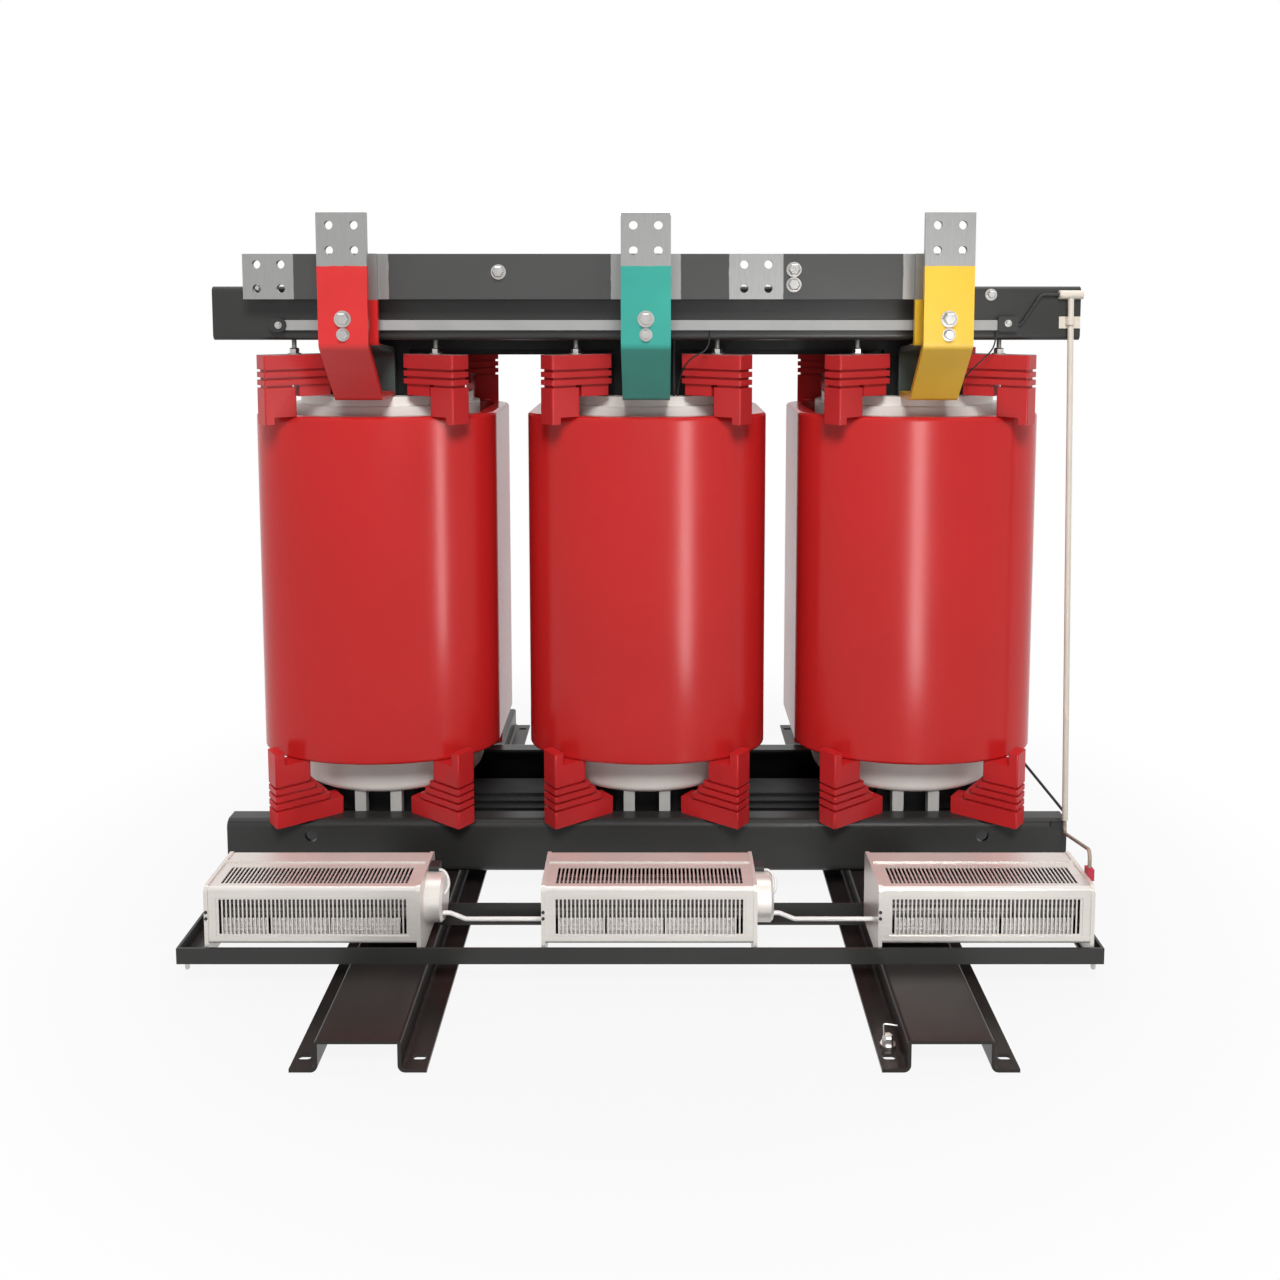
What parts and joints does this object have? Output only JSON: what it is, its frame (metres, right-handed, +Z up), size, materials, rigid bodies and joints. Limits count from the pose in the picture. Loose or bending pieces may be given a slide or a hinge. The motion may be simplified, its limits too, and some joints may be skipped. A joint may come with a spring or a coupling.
{
  "type": "dry-type power transformer",
  "caption": "Three-phase cast-resin dry-type power transformer on folded base rails, with coloured low-voltage bars and slotted cross-flow blowers on a frame in front.",
  "frame": {"origin": "on the floor under the middle of the transformer, at the bottom centre of its box", "axes": "+Z up, +X to the right along the row of windings as seen from the blowers, -Y to the front where the low-voltage bars and the blowers are"},
  "size_m": [1.488, 1.36, 1.198],
  "materials": {
    "rail_paint": "satin dark brown-black paint, worn on the edges",
    "clamp_paint": "satin charcoal paint",
    "core_steel": "black coated sheet stack with fine lamination lines",
    "red_resin": "glossy cast red resin",
    "pale_resin": "off-white resin, satin",
    "block_resin": "matte red resin",
    "post_resin": "light grey resin",
    "phase_red": "red paint with a bare tinned pad",
    "phase_green": "green paint with a bare tinned pad",
    "phase_yellow": "yellow paint with a bare tinned pad",
    "neutral_paint": "dark paint with bare tinned pads",
    "standoff_resin": "red-brown cast resin",
    "link_cover": "red insulating sleeve",
    "duct_plastic": "grey plastic strip",
    "conduit_plastic": "cream plastic",
    "lead_black": "black lead sheath",
    "cable_white": "white cable sheath",
    "fan_sheet": "silver-beige sheet",
    "wheel_metal": "pale sheet blades"
  },
  "bodies": {
    "transformer": {"clamp_tie_plates": "clamp_paint", "fan_feed_lead": "lead_black", "fan_frame_end_bars": "clamp_paint", "fan_frame_front_bar": "clamp_paint", "fan_frame_rear_bar": "clamp_paint", "fan_link_cables": "cable_white", "front_lower_clamp": "clamp_paint", "front_upper_clamp": "clamp_paint", "hv_delta_links": "link_cover", "lead_standoffs": "standoff_resin", "left_base_rail": "rail_paint", "left_fan_housing": "fan_sheet", "left_hv_coil": "red_resin", "left_limb": "core_steel", "left_lower_blocks": "block_resin", "left_lv_coil": "pale_resin", "left_neutral_lead": "phase_red", "left_phase_bar": "phase_red", "left_upper_blocks": "block_resin", "lower_yoke": "core_steel", "lv_support_posts": "post_resin", "middle_fan_housing": "fan_sheet", "middle_hv_coil": "red_resin", "middle_limb": "core_steel", "middle_lower_blocks": "block_resin", "middle_lv_coil": "pale_resin", "middle_neutral_lead": "phase_green", "middle_phase_bar": "phase_green", "middle_upper_blocks": "block_resin", "neutral_bar": "neutral_paint", "neutral_bar_brackets": "clamp_paint", "rear_lower_clamp": "clamp_paint", "rear_upper_clamp": "clamp_paint", "right_base_rail": "rail_paint", "right_fan_housing": "fan_sheet", "right_hv_coil": "red_resin", "right_limb": "core_steel", "right_lower_blocks": "block_resin", "right_lv_coil": "pale_resin", "right_neutral_lead": "phase_yellow", "right_phase_bar": "phase_yellow", "right_upper_blocks": "block_resin", "sensor_conduit": "conduit_plastic", "sensor_duct": "duct_plastic", "sensor_leads": "lead_black", "upper_yoke": "core_steel"},
    "left_fan_rotor": {"left_fan_impeller": "wheel_metal"},
    "middle_fan_rotor": {"middle_fan_impeller": "wheel_metal"},
    "right_fan_rotor": {"right_fan_impeller": "wheel_metal"}
  },
  "joints": [
    {"name": "left_fan_spin", "type": "hinge", "parent": "transformer", "child": "left_fan_rotor", "pos_m": [-0.51, -0.42, 0.1195], "axis": [1, 0, 0], "continuous": true},
    {"name": "middle_fan_spin", "type": "hinge", "parent": "transformer", "child": "middle_fan_rotor", "pos_m": [0.006, -0.42, 0.1195], "axis": [1, 0, 0], "continuous": true},
    {"name": "right_fan_spin", "type": "hinge", "parent": "transformer", "child": "right_fan_rotor", "pos_m": [0.522, -0.42, 0.1195], "axis": [1, 0, 0], "continuous": true}
  ]
}
